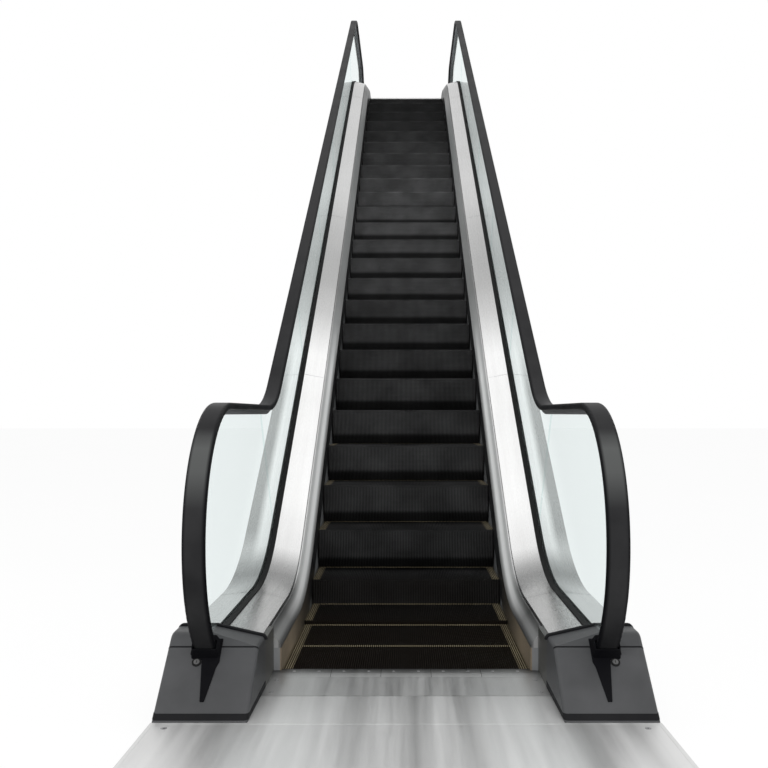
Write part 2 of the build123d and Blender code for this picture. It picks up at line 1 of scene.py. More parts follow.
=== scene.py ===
import bmesh
import bpy
import json
import math
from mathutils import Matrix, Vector


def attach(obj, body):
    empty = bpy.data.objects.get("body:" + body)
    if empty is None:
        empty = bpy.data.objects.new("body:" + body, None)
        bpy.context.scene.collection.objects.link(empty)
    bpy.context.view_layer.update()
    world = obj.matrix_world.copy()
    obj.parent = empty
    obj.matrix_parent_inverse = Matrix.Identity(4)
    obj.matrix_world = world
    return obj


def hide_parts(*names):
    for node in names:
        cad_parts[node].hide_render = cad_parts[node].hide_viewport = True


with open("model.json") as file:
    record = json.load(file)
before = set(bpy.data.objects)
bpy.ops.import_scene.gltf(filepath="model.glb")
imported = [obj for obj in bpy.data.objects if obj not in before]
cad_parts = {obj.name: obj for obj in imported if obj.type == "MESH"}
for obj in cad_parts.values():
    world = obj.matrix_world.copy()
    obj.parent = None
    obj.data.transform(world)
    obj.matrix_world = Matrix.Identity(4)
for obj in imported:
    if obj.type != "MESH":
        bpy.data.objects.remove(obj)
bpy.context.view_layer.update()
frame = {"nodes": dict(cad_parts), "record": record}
nodes = frame["nodes"]

# Sizes shared with the CAD model, in metres
step_width = 1.000
step_pitch = 0.400
step_gap = 0.004
step_edge = 0.028
step_phase = 0.393
riser_turn = math.radians(38)
cleat_count = 110
cleat_groove = 0.0056
cleat_depth = 0.010
incline = math.radians(35)
rise = 5.472
bend_start = 0.961
lower_bend_radius = 1.200
upper_bend_radius = 1.500
upper_flat_length = 1.200
floor_height = 0.040
comb_joint = 0.002
steps_per_node = 8
floor_plate_thick = 0.012
front_leaf_start = 1.150
lower_landing_length = 1.700
upper_landing_length = 2.200
landing_half_width = 0.862
comb_flat = 0.060
comb_ramp = 0.040
comb_rise = 0.004
cap_inner = 0.535
cap_front = 0.623
cap_back = 0.235
cap_height = 0.238
cap_shoulder = 0.715
cap_inner_height = 0.197
cap_round = 0.014
face_slope = math.radians(41.2)
handrail_centre = 0.720
switch_offset = 0.027
switch_height = 0.154
switch_radius = 0.0105
switch_proud = 0.005
truss_depth = 1.000
upper_truss_depth = 1.100
skirt_cover_outer = 0.556
deck_outer = 0.690
clamp_outer = 0.729
deck_inner_top = 0.182
deck_outer_top = 0.212
outer_deck_top = 0.197
outer_deck_lip = 0.150

slope = math.tan(incline)
half_bend = math.tan(incline / 2)
top_floor = floor_height + rise
bend_end = bend_start + rise / slope
upper_comb = bend_end + upper_bend_radius * half_bend + upper_flat_length
ends = {"lower": (0.0, -1, floor_height), "upper": (upper_comb, 1, top_floor)}
sides = {"left": -1, "right": 1}
upper_end = upper_comb + upper_landing_length
truss_floor = top_floor - upper_truss_depth
truss_drop = truss_depth / math.cos(incline)
truss_leaves_ground = bend_start + (truss_drop - floor_height) / slope
soffit_corner = bend_start + (truss_floor - floor_height + truss_drop) / slope


# Line of the step noses

lower_bend_low = bend_start - lower_bend_radius * half_bend
upper_bend_high = bend_end + upper_bend_radius * half_bend
lower_bend_length = lower_bend_radius * incline
upper_bend_length = upper_bend_radius * incline
slope_length = rise / math.sin(incline) - (lower_bend_radius + upper_bend_radius) * half_bend
track_length = lower_bend_low + lower_bend_length + slope_length + upper_bend_length + upper_flat_length


def track_place(travel):
    """Y, Z and slope angle of the nose line after this travel from the lower comb."""
    if travel <= lower_bend_low:
        return travel, floor_height, 0.0
    travel -= lower_bend_low
    if travel <= lower_bend_length:
        turn = travel / lower_bend_radius
        lift = lower_bend_radius * (1 - math.cos(turn))
        return lower_bend_low + lower_bend_radius * math.sin(turn), floor_height + lift, turn
    travel -= lower_bend_length
    if travel <= slope_length:
        start_y = lower_bend_low + lower_bend_radius * math.sin(incline)
        start_z = floor_height + lower_bend_radius * (1 - math.cos(incline))
        return start_y + travel * math.cos(incline), start_z + travel * math.sin(incline), incline
    travel -= slope_length
    if travel <= upper_bend_length:
        turn = incline - travel / upper_bend_radius
        fall = upper_bend_radius * (1 - math.cos(turn))
        return upper_bend_high - upper_bend_radius * math.sin(turn), top_floor - fall, turn
    return upper_bend_high + travel - upper_bend_length, top_floor, 0.0


# Materials: object coordinates in metres feed every pattern

def feed(tree, socket, value):
    """Links the value to the socket if it is a socket itself, and writes it there otherwise."""
    if isinstance(value, bpy.types.NodeSocket):
        tree.links.new(value, socket)
    else:
        socket.default_value = value


def math_node(tree, operation, *values):
    made = tree.nodes.new("ShaderNodeMath")
    made.operation = operation
    for socket, value in zip(made.inputs, values):
        feed(tree, socket, value)
    return made.outputs[0]


def mix_shaders(tree, share, first, second, target):
    """Links a mix of two shaders, with this share of the second, to the target."""
    mix = tree.nodes.new("ShaderNodeMixShader")
    for socket, value in zip(mix.inputs, (share, first, second)):
        feed(tree, socket, value)
    tree.links.new(mix.outputs[0], target)


class Surface:
    """One procedural material while it is being wired."""

    def __init__(self, name, metallic=0.0, specular=0.5, roughness=0.5):
        self.material = bpy.data.materials.new(name)
        self.material.use_nodes = True
        self.tree = self.material.node_tree
        self.shader = self.tree.nodes["Principled BSDF"]
        self.shader.inputs["Metallic"].default_value = metallic
        self.shader.inputs["Specular IOR Level"].default_value = specular
        self.shader.inputs["Roughness"].default_value = roughness
        self.output = self.tree.nodes["Material Output"].inputs["Surface"]
        coordinates = self.tree.nodes.new("ShaderNodeTexCoord")
        self.place = coordinates.outputs["Object"]
        self.normal = coordinates.outputs["Normal"]

    def add(self, kind, **inputs):
        made = self.tree.nodes.new(kind)
        for name, value in inputs.items():
            feed(self.tree, made.inputs[name], value)
        return made

    def noise(self, scale, stretch=(1, 1, 1), detail=3.0):
        mapped = self.add("ShaderNodeMapping", Vector=self.place, Scale=stretch)
        texture = self.add("ShaderNodeTexNoise", Vector=mapped.outputs[0], Scale=scale, Detail=detail)
        return texture.outputs[0]

    def axis(self, letter):
        return self.add("ShaderNodeSeparateXYZ", Vector=self.place).outputs[letter]

    def plus(self, first, second):
        return math_node(self.tree, "ADD", first, second)

    def minus(self, first, second):
        return math_node(self.tree, "SUBTRACT", first, second)

    def times(self, first, second):
        return math_node(self.tree, "MULTIPLY", first, second)

    def unsigned(self, value):
        return math_node(self.tree, "ABSOLUTE", value)

    def fit(self, value, low, high, to_low=0.0, to_high=1.0):
        """Maps low to to_low and high to to_high, straight between them and level beyond them."""
        made = self.add("ShaderNodeMapRange", Value=value)
        made.inputs["From Min"].default_value = low
        made.inputs["From Max"].default_value = high
        made.inputs["To Min"].default_value = to_low
        made.inputs["To Max"].default_value = to_high
        return made.outputs[0]

    def blend(self, share, first, second):
        """The second of two colours or sockets by this share, and the first for the rest."""
        made = self.tree.nodes.new("ShaderNodeMix")
        made.data_type = "RGBA"
        feed(self.tree, made.inputs["Factor"], share)
        for name, value in (("A", first), ("B", second)):
            socket = next(one for one in made.inputs if one.name == name and one.type == "RGBA")
            feed(self.tree, socket, (*value, 1.0) if isinstance(value, tuple) else value)
        return next(one for one in made.outputs if one.type == "RGBA")

    def ramp(self, value, stops):
        """A tone that runs straight between (value, tone) stops."""
        low = stops[0][0]
        span = stops[-1][0] - low
        made = self.add("ShaderNodeValToRGB", Fac=self.fit(value, low, low + span))
        elements = made.color_ramp.elements
        for number, (place, tone) in enumerate(stops):
            if 0 < number < len(stops) - 1:
                element = elements.new((place - low) / span)
            else:
                element = elements[0 if number == 0 else -1]
            element.color = (tone, tone, tone, 1.0)
        return made.outputs[0]

    def bands(self, letter, places):
        """Soft bands across one axis, each a (middle, half width, strength); they add up."""
        total = 0.0
        for middle, half_width, strength in places:
            away = self.unsigned(self.plus(self.axis(letter), -middle))
            total = self.plus(self.fit(away, 0.0, half_width, strength, 0.0), total)
        return total

    def colour(self, socket):
        feed(self.tree, self.shader.inputs["Base Color"], socket)

    def rough(self, socket):
        feed(self.tree, self.shader.inputs["Roughness"], socket)

    def bump(self, height, distance):
        made = self.add("ShaderNodeBump", Height=height, Distance=distance)
        feed(self.tree, self.shader.inputs["Normal"], made.outputs[0])


# Brushed metals: a small number stretches the brushing along that axis

up_the_incline = (1.0, 0.04, 0.04)
side_to_side = (0.04, 1.0, 1.0)
level = (1.0, 0.05, 1.0)
streak_scale = 26.0
cloud_scale = 1.3
hairline_scale = 900.0


def brush(surface, grain, rough_low, rough_high, depth):
    """Roughness and bump of brushed metal. Gives its long streaks and its soft clouding."""
    streaks = surface.noise(streak_scale, grain, detail=2.0)
    hairlines = surface.noise(hairline_scale, grain, detail=1.0)
    surface.rough(surface.fit(surface.plus(hairlines, streaks), 0.7, 1.3, rough_low, rough_high))
    surface.bump(hairlines, depth)
    return streaks, surface.noise(cloud_scale)


def brushed(name, dark, light, rough_low, rough_high, grain):
    """Brushed metal between two colours."""
    surface = Surface(name, metallic=1.0)
    streaks, clouds = brush(surface, grain, rough_low, rough_high, 0.00006)
    surface.colour(surface.blend(surface.fit(surface.times(streaks, clouds), 0.14, 0.40), dark, light))
    return surface.material


def streaked(surface, tone, rough_low, rough_high, strength):
    """Brushed metal of a given tone, which streaks and clouding dull by up to this strength."""
    streaks, clouds = brush(surface, up_the_incline, rough_low, rough_high, 0.00002)
    change = surface.fit(surface.plus(streaks, clouds), 0.7, 1.3, 1.0 - strength, 1.0)
    surface.colour(surface.blend(surface.times(tone, change), (0.0, 0.0, 0.0), (1.0, 1.0, 0.995)))
    return surface.material


def deck_steel_with_painted_reflections():
    """Brushed stainless steel with painted reflections: mid grey at the landing, darker in the bend, bright
    up the first slope, then fading; painted shade on the outer part of the outer deck along the first slope
    and on the whole outer deck high up.
    """
    surface = Surface("deck_steel", metallic=1.0)
    climb = surface.axis("Y")
    # Painted reflections: the tone along the slope stands in for what the steel reflects.
    tone = surface.ramp(climb, [
        (0.0, 0.53), (0.6, 0.49), (0.84, 0.28), (0.94, 0.42), (1.08, 0.86), (1.4, 1.0),
        (2.7, 1.0), (3.2, 0.62), (3.6, 0.48), (4.0, 0.44), (4.4, 0.50), (5.2, 0.62), (5.6, 0.65),
        (6.2, 0.60), (8.4, 0.57),
    ])
    out = surface.unsigned(surface.axis("X"))
    first_slope = surface.ramp(climb, [(0.9, 0.0), (1.2, 1.0), (2.3, 1.0), (2.9, 0.0)])
    # Painted shade on the outer part of the outer deck along the first slope.
    painted_outer_edge_shade = surface.times(surface.fit(out, 0.775, 0.812, 0.0, 0.56), first_slope)
    high = surface.fit(climb, 5.2, 6.6)
    # Painted shade on the outer deck high up the slope.
    painted_outer_deck_shade = surface.times(surface.fit(out, 0.70, 0.73, 0.0, 0.38), high)
    bright = surface.minus(surface.minus(1.0, painted_outer_edge_shade), painted_outer_deck_shade)
    return streaked(surface, surface.times(tone, bright), 0.20, 0.32, 0.10)


def cover_metal_with_painted_light():
    """Skirt profile with painted light: painted shade beside the comb, a painted highlight along the rolled
    lower lips with painted shade at their inner edge, painted shade on the outer half in the lower bend, and
    painted shade higher up.
    """
    surface = Surface("cover_metal", metallic=0.35)
    out = surface.unsigned(surface.axis("X"))
    climb = surface.axis("Y")
    # Across the profile: a painted highlight on the rolled lower edge, with painted shade at its inner edge.
    painted_lip_shading = surface.ramp(out, [
        (0.503, 0.16), (0.511, 0.40), (0.520, 1.0), (0.530, 0.98), (0.541, 0.60), (0.556, 0.70),
    ])
    # Painted shade beside the comb.
    painted_shade_near_comb = surface.ramp(climb, [(0.0, 0.35), (0.35, 0.33), (0.72, 0.85), (0.9, 1.0)])
    low_bend = surface.ramp(climb, [(0.0, 0.5), (0.3, 1.0), (0.75, 1.0), (0.95, 0.0)])
    # Painted shade on the outer half of the profile in the lower bend.
    painted_shade_outer_half = surface.times(surface.fit(out, 0.532, 0.552, 0.0, 0.75), low_bend)
    near = surface.times(surface.times(painted_lip_shading, painted_shade_near_comb), surface.minus(1.0, painted_shade_outer_half))
    # Painted shade up the slope, deepest near the top.
    far = surface.ramp(climb, [
        (3.0, 0.48), (3.6, 0.29), (5.2, 0.31), (6.0, 0.29), (6.8, 0.15), (7.4, 0.08), (8.4, 0.07),
    ])
    share = surface.fit(climb, 2.6, 3.2)
    return streaked(surface, surface.blend(share, near, far), 0.30, 0.42, 0.10)


def comb_metal_with_painted_shade():
    """Aluminium comb plates with painted shade of the gaps between their teeth, darker towards the teeth."""
    surface = Surface("comb_metal", metallic=1.0)
    # Painted shade near each comb.
    painted_shade_near_comb = surface.bands("Y", [(0.0, 0.12, 0.94), (upper_comb, 0.12, 0.94)])
    return streaked(surface, surface.fit(painted_shade_near_comb, 0.0, 1.0, 0.53, 0.0), 0.34, 0.50, 0.12)


def floor_steel_with_painted_reflections():
    """Satin floor plates with dull bands of painted reflection and a darker stretch next to the comb."""
    surface = Surface("floor_steel", metallic=0.65)
    # Painted reflections of the steps, as dull bands along the plates.
    dull = surface.bands("X", [
        (-0.60, 0.16, 0.13), (-0.17, 0.07, 0.20), (0.03, 0.07, 0.28), (0.21, 0.07, 0.22),
        (0.585, 0.08, 0.24), (0.76, 0.06, 0.14),
    ])
    stretch = surface.ramp(surface.axis("Y"), [(-1.2, 0.78), (-0.6, 0.68), (-0.33, 0.57)])
    return streaked(surface, surface.minus(stretch, dull), 0.36, 0.50, 0.14)


# Paints, plastics and rubber

def mottled(surface, dark, light, roughness, grain, depth):
    """Paint or plastic with mottling between two colours, a fine grain and dulling in patches."""
    mottle = surface.noise(5.0, detail=4.0)
    fine = surface.noise(grain, detail=2.0)
    surface.colour(surface.blend(surface.fit(mottle, 0.35, 0.68), dark, light))
    surface.rough(surface.fit(surface.plus(mottle, fine), 0.8, 1.2, roughness - 0.06, roughness + 0.08))
    surface.bump(fine, depth)
    return surface.material


def painted(name, dark, light, roughness, grain, depth=0.0001, specular=0.5):
    return mottled(Surface(name, specular=specular), dark, light, roughness, grain, depth)


def skirt_finish():
    """Black skirt paint, lighter and brown beside the last steps before the comb."""
    surface = Surface("skirt_black", specular=0.25)
    painted_riser_shade_and_skirt_lightening = surface.ramp(surface.axis("Y"), [(0.0, 0.7), (0.3, 1.0), (0.55, 0.45), (0.8, 0.15), (1.1, 0.0)])
    black = ((0.010, 0.010, 0.011), (0.018, 0.018, 0.019))
    tones = [surface.blend(painted_riser_shade_and_skirt_lightening, tone, (0.285, 0.228, 0.165)) for tone in black]
    return mottled(surface, *tones, 0.40, 600.0, 0.00005)


def step_paint_with_painted_light(name, share):
    """Black step paint: brown at the landing, with painted light on the risers up the flight, painted shade
    at the foot of each riser with painted light just above it, and painted shade on the treads.
    """
    surface = Surface(name, specular=0.04)
    climb = surface.axis("Y")
    # Painted light: the risers lighter up the middle of the flight and less so at the top.
    painted_light_up_flight = surface.ramp(climb, [
        (0.8, 0.022), (1.1, 0.027), (1.45, 0.060), (2.0, 0.086), (3.3, 0.073), (3.8, 0.095),
        (4.3, 0.132), (5.2, 0.152), (5.9, 0.172), (6.9, 0.112), (8.0, 0.056), (8.6, 0.048),
    ])
    nose_line = surface.fit(climb, bend_start, bend_end, floor_height, top_floor)
    below_noses = surface.minus(surface.axis("Z"), nose_line)
    spread = surface.ramp(climb, [(2.6, 0.0), (5.0, 0.066), (5.5, 0.050), (6.3, 0.0)])
    depth = surface.minus(below_noses, spread)
    # Painted shade at the foot of each riser, painted light just above it.
    painted_riser_shade_and_skirt_lightening = surface.ramp(depth, [(-0.27, 0.24), (-0.21, 0.24), (-0.18, 1.0), (-0.09, 0.76), (0.0, 0.59)])
    facing_up = surface.add("ShaderNodeSeparateXYZ", Vector=surface.normal).outputs["Z"]
    # Painted shade on the treads, which face up.
    painted_tread_shade = surface.fit(facing_up, 0.3, 0.7, 1.0, 0.4)
    tone = surface.times(surface.times(painted_light_up_flight, painted_riser_shade_and_skirt_lightening), painted_tread_shade)
    tints = ((0.75 * share, 0.75 * share, 0.76 * share), (1.25 * share, 1.25 * share, 1.27 * share))
    brown = surface.fit(climb, 0.6, 1.3, 1.0, 0.0)
    tones = []
    for tint in tints:
        aged = surface.blend(brown, tint, (1.15 * share, 0.80 * share, 0.50 * share))
        tones.append(surface.blend(tone, (0.0, 0.0, 0.0), aged))
    return mottled(surface, *tones, 0.62, 500.0, 0.0001)


def handrail_rubber_with_painted_light():
    """Black rubber with painted shade on its lips and a painted highlight on the front of the lower newel."""
    surface = Surface("handrail_rubber", specular=0.05)
    off_middle = surface.plus(surface.unsigned(surface.axis("X")), -handrail_centre)
    # Painted shade on both lips of the handrail.
    painted_lip_shading = surface.fit(surface.unsigned(off_middle), 0.026, 0.037)
    # Painted highlight on the front of the lower newel, between about 0.8 and 1.0 m up.
    newel = surface.fit(surface.axis("Y"), -0.36, -0.45)
    reach = surface.ramp(surface.axis("Z"), [(0.76, 0.0), (0.88, 0.85), (0.96, 1.0), (1.0, 0.5), (1.03, 0.0)])
    painted_newel_highlight = surface.times(newel, reach)
    rubber_tones = ((0.014, 0.014, 0.015), (0.025, 0.025, 0.026))
    top = [surface.blend(painted_newel_highlight, tone, (0.080, 0.083, 0.082)) for tone in rubber_tones]
    tones = [surface.blend(painted_lip_shading, tone, (0.003, 0.003, 0.004)) for tone in top]
    return mottled(surface, *tones, 0.44, 900.0, 0.00004)


def clear_glass():
    """Toughened glass with a faint green cast, a little dust and wiping marks."""
    surface = Surface("balustrade_glass")
    wipe = surface.noise(3.0, (1.0, 0.4, 1.6), detail=5.0)
    surface.colour(surface.blend(surface.fit(wipe, 0.35, 0.7), (0.86, 0.93, 0.92), (0.80, 0.88, 0.87)))
    surface.rough(surface.fit(wipe, 0.40, 0.75, 0.01, 0.06))
    clear = surface.add("ShaderNodeBsdfTransparent", Color=(0.945, 0.974, 0.972, 1.0))
    facing = surface.add("ShaderNodeLayerWeight").outputs["Facing"]
    share = surface.fit(math_node(surface.tree, "POWER", facing, 5.0), 0.0, 1.0, 0.012, 0.16)
    mix_shaders(surface.tree, share, clear.outputs[0], surface.shader.outputs[0], surface.output)
    return surface.material


step_black = step_paint_with_painted_light("step_black", 1.0)
# The groove floors take the step paint at 0.4 of its tone, as painted shade.
step_groove_painted_shade = step_paint_with_painted_light("step_groove_painted_shade", 0.4)
step_line = painted("step_line", (0.180, 0.150, 0.095), (0.260, 0.220, 0.140), 0.6, 420.0, 0.0001, 0.2)
floor_steel = floor_steel_with_painted_reflections()
deck_steel = deck_steel_with_painted_reflections()
comb_metal = comb_metal_with_painted_shade()
cladding_steel = brushed("cladding_steel", (0.58, 0.59, 0.60), (0.68, 0.69, 0.70), 0.28, 0.40, level)
cover_metal = cover_metal_with_painted_light()
skirt_black = skirt_finish()
# Near-black paint for the truss core: painted shadow seen between the steps.
painted_shadow_black = painted("painted_shadow_black", (0.006, 0.006, 0.006), (0.012, 0.012, 0.012), 0.75, 300.0, specular=0.1)
truss_paint = painted("truss_paint", (0.165, 0.17, 0.175), (0.20, 0.205, 0.21), 0.55, 240.0, 0.0002)
gasket_black = painted("gasket_black", (0.006, 0.006, 0.006), (0.011, 0.011, 0.011), 0.7, 700.0, 0.00005, 0.1)
handrail_rubber = handrail_rubber_with_painted_light()
guide_metal = brushed("guide_metal", (0.20, 0.20, 0.21), (0.28, 0.28, 0.29), 0.35, 0.50, side_to_side)
cap_grey = painted("cap_grey", (0.043, 0.044, 0.046), (0.062, 0.063, 0.066), 0.48, 520.0, 0.0001, 0.28)
panel_grey = painted("panel_grey", (0.048, 0.047, 0.044), (0.070, 0.069, 0.064), 0.48, 520.0, 0.0001, 0.28)
boot_black = painted("boot_black", (0.002, 0.002, 0.003), (0.005, 0.005, 0.006), 0.75, 600.0, 0.0001, 0.06)
foot_black = painted("foot_black", (0.006, 0.006, 0.007), (0.012, 0.012, 0.013), 0.65, 400.0, 0.0001, 0.10)
seam_black = painted("seam_black", (0.004, 0.004, 0.004), (0.009, 0.009, 0.009), 0.80, 300.0, 0.0001, 0.2)
button_grey = painted("button_grey", (0.068, 0.068, 0.068), (0.096, 0.096, 0.096), 0.42, 500.0, 0.00005)
screw_steel = brushed("screw_steel", (0.42, 0.42, 0.43), (0.60, 0.60, 0.61), 0.25, 0.40, up_the_incline)
balustrade_glass = clear_glass()

slot_materials = {
    "step_aluminium": step_black,
    "truss_paint": truss_paint,
    "cladding_steel": cladding_steel,
    "skirt_paint": skirt_black,
    "cover_aluminium": cover_metal,
    "deck_steel": deck_steel,
    "clamp_rubber": gasket_black,
    "handrail_rubber": handrail_rubber,
    "guide_steel": guide_metal,
    "balustrade_glass": balustrade_glass,
    "floor_steel": floor_steel,
    "comb_aluminium": comb_metal,
    "panel_plastic": panel_grey,
    "boot_rubber": boot_black,
    "switch_steel": button_grey,
    "cap_plastic": cap_grey,
}
for part in frame["record"]["subparts"]:
    shown = nodes[part["node"]]
    shown.data.materials.clear()
    shown.data.materials.append(slot_materials[part["material_slot"]])
# The truss core, seen only through the gaps between steps, is painted near black as painted shadow.
nodes["truss_core"].data.materials[0] = painted_shadow_black


# Mesh pieces

smallest_face = 1e-10


def make_piece(name, points, faces, kinds, materials, turn_outwards=True):
    """A mesh piece that rides on the fixed body, without the faces that a cut has flattened to nothing."""
    mesh = bpy.data.meshes.new(name)
    mesh.from_pydata(points, [], faces)
    for material in materials:
        mesh.materials.append(material)
    mesh.polygons.foreach_set("material_index", kinds)
    shape = bmesh.new()
    shape.from_mesh(mesh)
    flat = [face for face in shape.faces if face.calc_area() < smallest_face]
    bmesh.ops.delete(shape, geom=flat, context="FACES")
    if turn_outwards:
        bmesh.ops.recalc_face_normals(shape, faces=shape.faces)
    shape.to_mesh(mesh)
    shape.free()
    piece = bpy.data.objects.new(name, mesh)
    bpy.context.scene.collection.objects.link(piece)
    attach(piece, "root")
    return piece


# Steps: cleats and grooves run over the tread and down the riser

riser_samples = 8
border_cleats = 4
back_line = 0.030
lowest_point = 0.010
black, painted_shade_groove, yellow = 0, 1, 2


def step_paths():
    """Outer and groove-floor outlines of a step from the tread's back, over the nose, to the foot."""
    tread = (step_pitch - step_gap, step_pitch - back_line)
    outer = [(y, 0.0) for y in (*tread, 0.0)]
    inner = [(y, -cleat_depth) for y in (*tread, cleat_depth)]
    reach = step_pitch - cleat_depth
    for number in range(1, riser_samples + 1):
        turn = riser_turn * number / riser_samples
        outer.append((step_pitch * (1 - math.cos(turn)), -step_pitch * math.sin(turn)))
        inner.append((step_pitch - reach * math.cos(turn), -reach * math.sin(turn)))
    return outer, inner


def add_step(nose_y, nose_z, points, faces, kinds):
    """Adds one cleated step, cut where it runs under a comb or into the ground."""

    def place(x, point):
        y = min(max(nose_y + point[0], comb_joint), upper_comb - comb_joint)
        return (x, y, max(nose_z + point[1], lowest_point))

    outer, inner = step_paths()
    rows = len(outer)
    pitch = step_width / cleat_count
    for number in range(cleat_count):
        start = -step_width / 2 + number * pitch
        end = start + pitch
        groove_start = start + (pitch - cleat_groove) / 2
        groove_end = end - (pitch - cleat_groove) / 2
        columns = [
            (start, outer), (groove_start, outer), (groove_start, inner),
            (groove_end, inner), (groove_end, outer), (end, outer),
        ]
        base = len(points)
        for x, path in columns:
            points.extend(place(x, point) for point in path)
        border = number < border_cleats or number >= cleat_count - border_cleats
        for column, kind in enumerate((black, black, painted_shade_groove, black, black)):
            on_top = column in (0, 4)
            for row in range(rows - 1):
                first = base + column * rows + row
                faces.append((first, first + 1, first + rows + 1, first + rows))
                lined = row == 0 or border and row < 2
                kinds.append(yellow if on_top and lined else kind)
        for row, order in ((0, 1), (-1, -1)):
            for low_x, high_x in ((start, groove_start), (groove_end, end)):
                corners = [(low_x, outer), (high_x, outer), (high_x, inner), (low_x, inner)][::order]
                first = len(points)
                points.extend(place(x, path[row]) for x, path in corners)
                faces.append(tuple(range(first, first + len(corners))))
                kinds.append(black)

    shell = [*outer, inner[-1], (step_pitch - step_gap, -step_edge), inner[0]]
    count = len(shell)
    base = len(points)
    for x in (-step_width / 2, step_width / 2):
        points.extend(place(x, point) for point in shell)
    faces.append(tuple(base + index for index in reversed(range(count))))
    faces.append(tuple(base + count + index for index in range(count)))
    for first in (base + count - 3, base + count - 2):
        faces.append((first, first + 1, first + count + 1, first + count))
    kinds.extend([black] * 4)


step_count = math.ceil((track_length - comb_joint - step_phase) / step_pitch) + 1
noses = [track_place(step_phase + (number - 1) * step_pitch)[:2] for number in range(step_count)]
for group in range(math.ceil(step_count / steps_per_node)):
    points, faces, kinds = [], [], []
    for nose_y, nose_z in noses[group * steps_per_node:(group + 1) * steps_per_node]:
        add_step(nose_y, nose_z, points, faces, kinds)
    name = f"steps_{group + 1:02d}"
    step_materials = [step_black, step_groove_painted_shade, step_line]
    steps = make_piece(
        f"cleated_{name}", points, faces, kinds, step_materials, turn_outwards=False
    )
    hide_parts(name)


# Strips swept along a path, and small turned pieces

class Shape:
    """Points, faces and material numbers of a piece while it is being built."""

    def __init__(self):
        self.points = []
        self.faces = []
        self.kinds = []

    def add_face(self, corners, kind):
        self.faces.append(tuple(corners))
        self.kinds.append(kind)

    def strip(self, path, width, thick, kind=0):
        """A flat strip with bevelled edges; each place on the path is (middle, outwards, sideways)."""
        half = width / 2
        bevel = min(thick * 0.45, half * 0.4)
        section = [
            (-half, 0.0), (-half, thick - bevel), (-half + bevel, thick),
            (half - bevel, thick), (half, thick - bevel), (half, 0.0),
        ]
        base = len(self.points)
        count = len(section)
        for middle, outwards, sideways in path:
            self.points.extend(middle + sideways * side + outwards * out for side, out in section)
        last = base + (len(path) - 1) * count
        for row in range(base, last, count):
            for corner in range(count):
                first = row + corner
                second = row + (corner + 1) % count
                self.add_face((first, second, second + count, first + count), kind)
        self.add_face((base + corner for corner in reversed(range(count))), kind)
        self.add_face((last + corner for corner in range(count)), kind)

    def turned(self, middle, outwards, rings, kind=0, corners=20):
        """A round piece from (radius, height) rings, closed at the last one."""
        sideways = outwards.orthogonal().normalized()
        upwards = outwards.cross(sideways)
        base = len(self.points)
        for radius, height in rings:
            for corner in range(corners):
                turn = 2 * math.pi * corner / corners
                spoke = sideways * math.cos(turn) + upwards * math.sin(turn)
                self.points.append(middle + spoke * radius + outwards * height)
        last = base + (len(rings) - 1) * corners
        for row in range(base, last, corners):
            for corner in range(corners):
                first = row + corner
                second = row + (corner + 1) % corners
                self.add_face((first, second, second + corners, first + corners), kind)
        self.add_face((last + corner for corner in range(corners)), kind)

    def screw(self, middle, outwards, radius):
        """A countersunk screw head with a socket, and the dark rim of its hole."""
        self.turned(middle, outwards, [
            (radius, 0.0), (radius, 0.0006), (0.88 * radius, 0.0011), (0.50 * radius, 0.0011),
            (0.46 * radius, 0.0002), (0.02 * radius, 0.0002),
        ])
        rim = [(1.12 * radius, 0.0), (1.10 * radius, 0.0003), (radius, 0.0003)]
        self.turned(middle, outwards, rim, 1)

    def piece(self, name, materials, slot):
        make_piece(name, self.points, self.faces, self.kinds, materials)


up = Vector((0, 0, 1))
right = Vector((1, 0, 0))
forward = Vector((0, 1, 0))


# Inlet caps: seal against the decks, seam across the face, foot strip and rings round the key switches

quarter = math.pi / 2
arc_steps = 5
seal_width = 0.018
seal_thick = 0.009
seal_side_proud = 0.001
seal_drop = 0.050
seam_width = 0.0065
seam_thick = 0.0006
foot_height = 0.026
foot_thick = 0.001
ring_outer = switch_radius + 0.0065
ring_shoulder = switch_radius + 0.0040
ring_inner = switch_radius + 0.0005
ring_side = 0.0030
ring_top = 0.0045
keyhole_length = 0.010
keyhole_width = 0.0025
keyhole_thick = 0.0003
top_slant = math.atan2(cap_height - cap_inner_height, cap_shoulder - cap_inner)
cap_corners = ((cap_inner + cap_round, -1), (landing_half_width - cap_round, 1))


